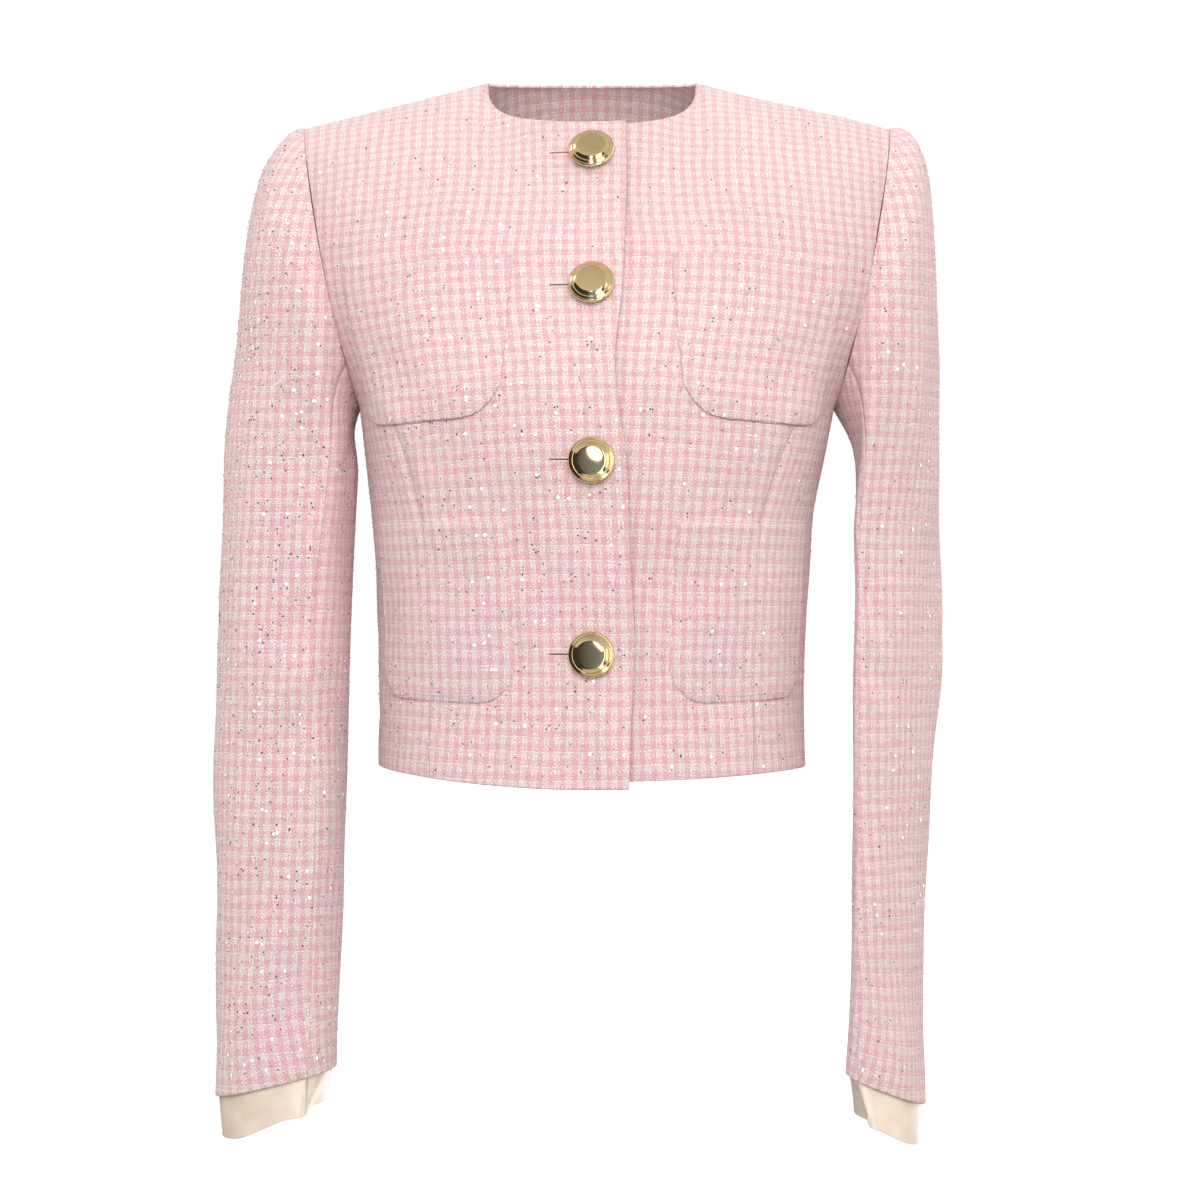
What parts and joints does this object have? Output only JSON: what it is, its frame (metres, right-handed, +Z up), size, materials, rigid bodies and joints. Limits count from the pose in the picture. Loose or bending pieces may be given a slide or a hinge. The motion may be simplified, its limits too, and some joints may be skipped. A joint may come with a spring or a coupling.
{
  "type": "cropped tweed jacket",
  "caption": "Cropped collarless jacket in check tweed, closed with domed metal buttons, with patch pockets, long two-piece sleeves and satin cuffs, in its worn form.",
  "frame": {"origin": "on the shoulder line at the middle of the neck, where the wearer's shoulders hold the jacket", "axes": "+Z up, the front faces -Y, +X towards the wearer's left"},
  "size_m": [0.4735, 0.2251, 0.6943],
  "materials": {
    "pink_tweed": "woven pink and cream check with small clear sequins",
    "cream_satin": "smooth satin",
    "gold_metal": "polished pale gold"
  },
  "bodies": {
    "root": {"front_left": "pink_tweed", "front_right": "pink_tweed", "back": "pink_tweed", "pocket_breast_left": "pink_tweed", "pocket_breast_right": "pink_tweed", "pocket_hip_left": "pink_tweed", "pocket_hip_right": "pink_tweed", "sleeve_top_left": "pink_tweed", "sleeve_top_right": "pink_tweed", "sleeve_under_left": "pink_tweed", "sleeve_under_right": "pink_tweed", "cuff_left": "cream_satin", "cuff_right": "cream_satin", "button_1": "gold_metal", "button_2": "gold_metal", "button_3": "gold_metal", "button_4": "gold_metal"}
  },
  "joints": []
}
